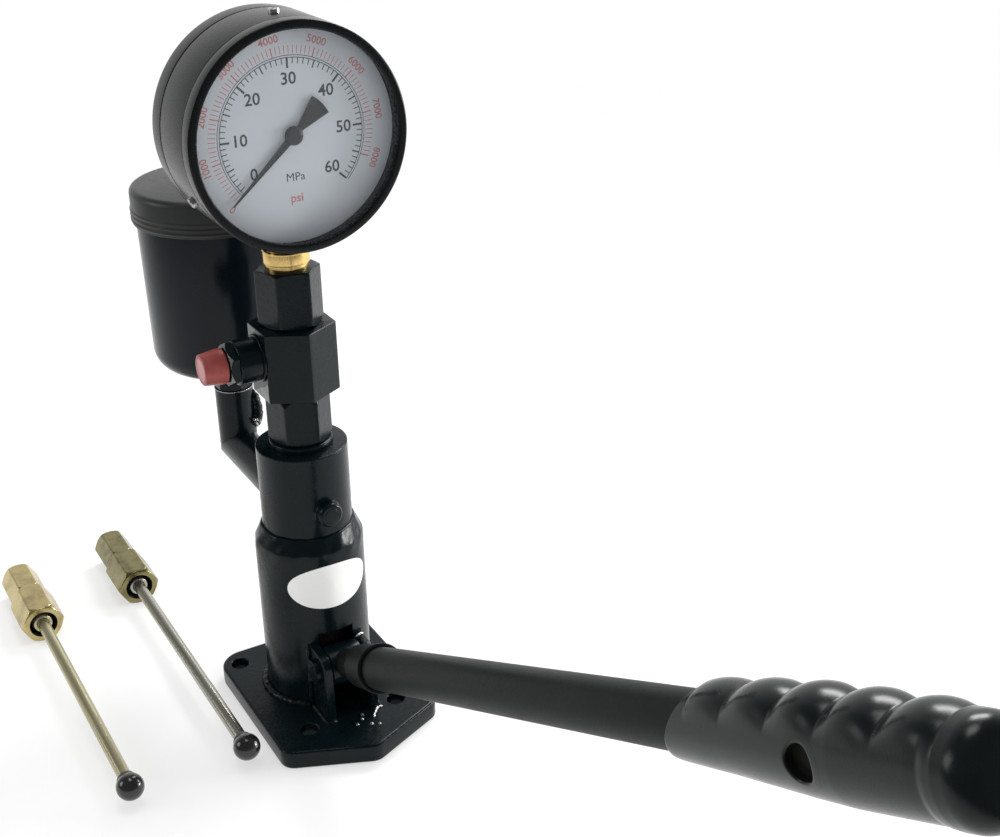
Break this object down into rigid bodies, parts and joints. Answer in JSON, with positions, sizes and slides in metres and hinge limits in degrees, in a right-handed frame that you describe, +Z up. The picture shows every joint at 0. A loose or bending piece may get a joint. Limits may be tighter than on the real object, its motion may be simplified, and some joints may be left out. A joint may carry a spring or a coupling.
{
  "type": "diesel injector tester",
  "caption": "Hand-lever diesel injector tester: flange-mounted pump column with ridged-grip lever, pressure gauge, fuel reservoir, capped side outlet and loose test pipes.",
  "frame": {"origin": "on the column axis at the underside of the flange plate", "axes": "+X along the lever and out of the dial, +Z up the column, the outlet toward -Y"},
  "size_m": [0.6168, 0.1761, 0.3538],
  "materials": {
    "black_paint": "gloss black paint",
    "lever_paint": "dark satin paint",
    "bright_steel": "plain steel",
    "spring_steel": "oiled spring steel",
    "brass": "turned brass",
    "red_plastic": "soft red plastic",
    "glass": "clear",
    "dial": "printed white enamel",
    "pointer": "black",
    "grip_rubber": "moulded, soft sheen",
    "seal_rubber": "matt",
    "cup_plastic": "gloss black",
    "zinc": "yellow zinc plate",
    "ball_plastic": "gloss black"
  },
  "bodies": {
    "tester": {"base_plate": "black_paint", "column": "black_paint", "valve_holder": "black_paint", "tee_block": "black_paint", "outlet_connector": "black_paint", "gauge_nut": "black_paint", "gauge_case": "black_paint", "gauge_bezel": "black_paint", "reservoir_elbow": "black_paint", "reservoir_nut": "black_paint", "locating_screw": "black_paint", "outlet_washer": "black_paint", "pivot_pin": "black_paint", "barrel": "bright_steel", "valve_seat": "bright_steel", "case_screws": "bright_steel", "reservoir_stud": "bright_steel", "inner_nut": "bright_steel", "return_spring": "spring_steel", "valve_spring": "spring_steel", "pin_clip": "spring_steel", "valve_washer": "brass", "gauge_stem": "brass", "gauge_movement": "brass", "bourdon_tube": "brass", "strainer": "brass", "gauge_glass": "glass", "gauge_dial": "dial", "reservoir_seals": "seal_rubber", "reservoir_cup": "cup_plastic"},
    "lever": {"lever_head": "lever_paint", "lever_tube": "lever_paint", "lever_grip": "grip_rubber"},
    "pump_plunger": {"plunger": "bright_steel", "tappet": "bright_steel"},
    "valve": {"delivery_valve": "bright_steel"},
    "pointer": {"gauge_pointer": "pointer"},
    "lid": {"reservoir_lid": "cup_plastic"},
    "cap": {"outlet_cap": "red_plastic"},
    "pipe_1": {"pipe_1_tube": "bright_steel"},
    "pipe_1_front_nut": {"pipe_1_front_nut": "zinc", "pipe_1_sleeve": "bright_steel"},
    "pipe_1_rear_nut": {"pipe_1_rear_nut": "zinc"},
    "pipe_1_ball": {"pipe_1_ball": "ball_plastic"},
    "pipe_2": {"pipe_2_tube": "bright_steel"},
    "pipe_2_front_nut": {"pipe_2_front_nut": "zinc", "pipe_2_sleeve": "bright_steel"},
    "pipe_2_rear_nut": {"pipe_2_rear_nut": "zinc"},
    "pipe_2_ball": {"pipe_2_ball": "ball_plastic"}
  },
  "joints": [
    {"name": "lever_pivot", "type": "hinge", "parent": "tester", "child": "lever", "pos_m": [0.032, 0, 0.0362], "axis": [0, 1, 0], "range_deg": [0, 30], "stiffness_Nm_per_rad": 5, "springref_deg": -34.38},
    {"name": "plunger_lift", "type": "slide", "parent": "tester", "child": "pump_plunger", "axis": [0, 0, 1], "range_m": [0, 0.01715], "deforming": ["return_spring"]},
    {"name": "valve_lift", "type": "slide", "parent": "tester", "child": "valve", "axis": [0, 0, 1], "range_m": [0, 0.0025], "stiffness_N_per_m": 800, "springref_m": -0.004, "deforming": ["valve_spring"]},
    {"name": "pointer_sweep", "type": "hinge", "parent": "tester", "child": "pointer", "pos_m": [0.0204, 0, 0.3018], "axis": [-1, 0, 0], "range_deg": [0, 268], "stiffness_Nm_per_rad": 0.0002, "springref_deg": -28.65},
    {"name": "lid_lift", "type": "slide", "parent": "tester", "child": "lid", "axis": [0, 0, 1], "range_m": [0, 0.06]},
    {"name": "cap_pull", "type": "slide", "parent": "tester", "child": "cap", "axis": [0, -1, 0], "range_m": [0, 0.03]},
    {"name": "pipe_1_lift", "type": "slide", "parent": "tester", "child": "pipe_1", "axis": [0, 0, 1], "range_m": [0, 0.15]},
    {"name": "pipe_1_front_nut_slide", "type": "slide", "parent": "pipe_1", "child": "pipe_1_front_nut", "axis": [1, 0, 0], "range_m": [0, 0.14]},
    {"name": "pipe_1_rear_nut_spin", "type": "hinge", "parent": "pipe_1", "child": "pipe_1_rear_nut", "pos_m": [-0.1661, -0.114, 0.0105], "axis": [1, 0, 0], "continuous": true},
    {"name": "pipe_1_ball_pull", "type": "slide", "parent": "pipe_1", "child": "pipe_1_ball", "axis": [1, 0, 0], "range_m": [0, 0.015]},
    {"name": "pipe_2_lift", "type": "slide", "parent": "tester", "child": "pipe_2", "axis": [0, 0, 1], "range_m": [0, 0.15]},
    {"name": "pipe_2_front_nut_slide", "type": "slide", "parent": "pipe_2", "child": "pipe_2_front_nut", "axis": [1, 0, 0], "range_m": [0, 0.14]},
    {"name": "pipe_2_rear_nut_spin", "type": "hinge", "parent": "pipe_2", "child": "pipe_2_rear_nut", "pos_m": [-0.1761, -0.056, 0.0105], "axis": [1, 0, 0], "continuous": true},
    {"name": "pipe_2_ball_pull", "type": "slide", "parent": "pipe_2", "child": "pipe_2_ball", "axis": [1, 0, 0], "range_m": [0, 0.015]}
  ],
  "couplings": [
    {"joint": "plunger_lift", "follows": "lever_pivot", "m_per_rad": 0.032752}
  ]
}
